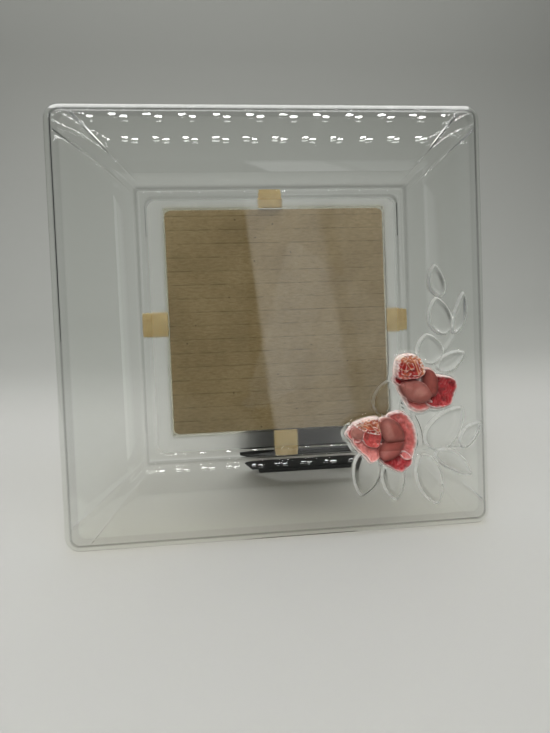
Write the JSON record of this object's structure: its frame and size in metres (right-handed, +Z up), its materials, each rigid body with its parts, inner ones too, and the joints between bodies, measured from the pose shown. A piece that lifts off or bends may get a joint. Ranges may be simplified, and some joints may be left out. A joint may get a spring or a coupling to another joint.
{
  "type": "glass picture frame",
  "caption": "Square clear glass picture frame with a mitred arched moulding, a rose relief in one corner, a card in a rear pocket and a folding easel leg.",
  "frame": {"origin": "on the ground flat under the lower edge of the glass, on the frame's middle plane", "axes": "+Z up, the glass faces -Y and leans back toward +Y, +X to the viewer's right"},
  "size_m": [0.2032, 0.0742, 0.1948],
  "materials": {
    "glass_clear": "clear polished",
    "glass_satin_pink": "satin, stained pink",
    "plastic_clear": "clear polished",
    "pad_yellowed": "yellowed, translucent",
    "board_kraft": "matt kraft liner",
    "board_flute": "matt fluted paper",
    "plastic_black": "satin black moulded",
    "steel_bright": "bright",
    "rubber_black": "matt"
  },
  "bodies": {
    "frame": {"glass_body": "glass_clear", "rose_upper": "glass_satin_pink", "rose_lower": "glass_satin_pink", "photo_pocket": "plastic_clear", "bond_pad_top": "pad_yellowed", "bond_pad_bottom": "pad_yellowed", "bond_pad_left": "pad_yellowed", "bond_pad_right": "pad_yellowed", "hinge_bracket": "plastic_black", "hinge_pin": "steel_bright", "bracket_rivet_1": "steel_bright", "bracket_rivet_2": "steel_bright", "bracket_rivet_3": "steel_bright", "bracket_rivet_4": "steel_bright"},
    "card": {"card_front_liner": "board_kraft", "card_fluting": "board_flute", "card_back_liner": "board_kraft"},
    "leg": {"easel_leg": "plastic_black", "foot_pad": "rubber_black"}
  },
  "joints": [
    {"name": "leg_fold", "type": "hinge", "parent": "frame", "child": "leg", "pos_m": [0.015, 0.04808, 0.11285], "axis": [-1, 0, 0], "range_deg": [0, 25.5]},
    {"name": "card_slide", "type": "slide", "parent": "frame", "child": "card", "axis": [0, 0.284, 0.9588], "range_m": [0, 0.106]}
  ]
}
